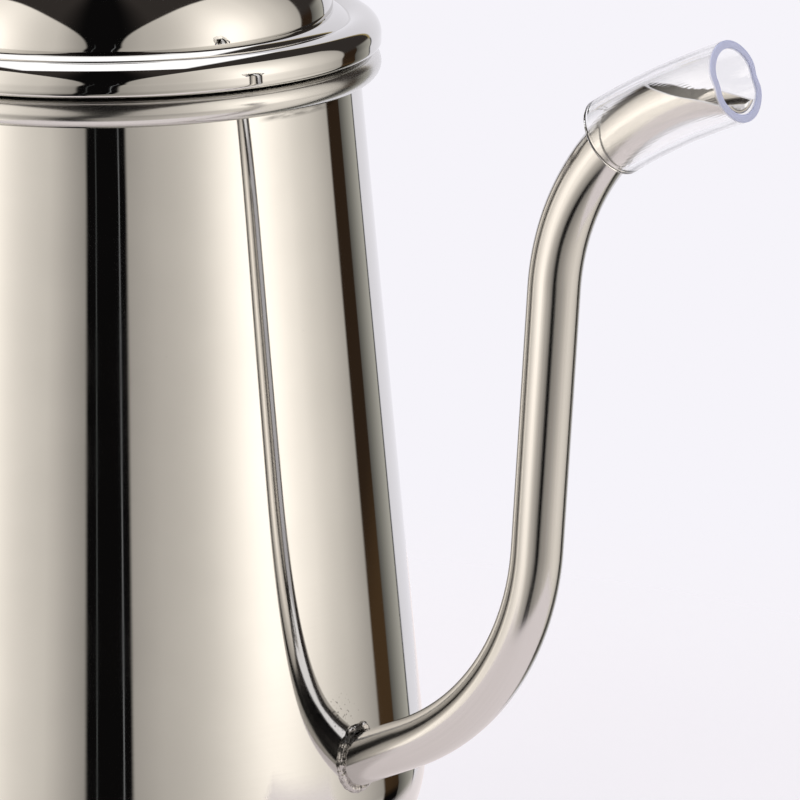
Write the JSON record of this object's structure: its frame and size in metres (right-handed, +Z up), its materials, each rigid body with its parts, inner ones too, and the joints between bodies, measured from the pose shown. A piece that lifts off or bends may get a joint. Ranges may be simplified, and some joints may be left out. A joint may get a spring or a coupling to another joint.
{
  "type": "gooseneck kettle",
  "caption": "Tapered mirror-polished steel kettle with a slim bent spout, a domed lift-off lid, a black side handle and a clear guard sleeve on the spout's tip.",
  "frame": {"origin": "centre of the base's resting face, on the body's axis", "axes": "+Z up the body's axis, +X towards the spout, -X towards the handle"},
  "size_m": [0.2368, 0.1132, 0.2081],
  "materials": {
    "polished_steel": "mirror-polished stainless steel",
    "screw_steel": "plain stainless steel",
    "weld_steel": "rough weld bead",
    "aluminium_core": "rolled",
    "brass_insert": "turned",
    "black_phenolic": "moulded phenolic, satin gloss",
    "clear_pvc": "clear soft tube"
  },
  "bodies": {
    "kettle": {"body_shell": "polished_steel", "base_cap": "polished_steel", "spout_tube": "polished_steel", "handle_bracket_upper": "polished_steel", "handle_bracket_lower": "polished_steel", "handle_ferrule_upper": "polished_steel", "handle_ferrule_lower": "polished_steel", "handle_screw_upper": "screw_steel", "handle_screw_lower": "screw_steel", "base_core": "aluminium_core", "spout_weld": "weld_steel", "handle_grip": "black_phenolic"},
    "lid": {"lid_shell": "polished_steel", "lid_skirt": "polished_steel", "knob_collar": "polished_steel", "knob": "black_phenolic", "knob_insert": "brass_insert", "knob_washer": "screw_steel", "knob_screw": "screw_steel"},
    "sleeve": {"spout_sleeve": "clear_pvc"}
  },
  "joints": [
    {"name": "lid_lift", "type": "slide", "parent": "kettle", "child": "lid", "axis": [0, 0, 1], "range_m": [0, 0.06]},
    {"name": "sleeve_pull", "type": "hinge", "parent": "kettle", "child": "sleeve", "pos_m": [0.13878, 0, 0.12319], "axis": [0, 1, 0], "range_deg": [0, 42]}
  ]
}
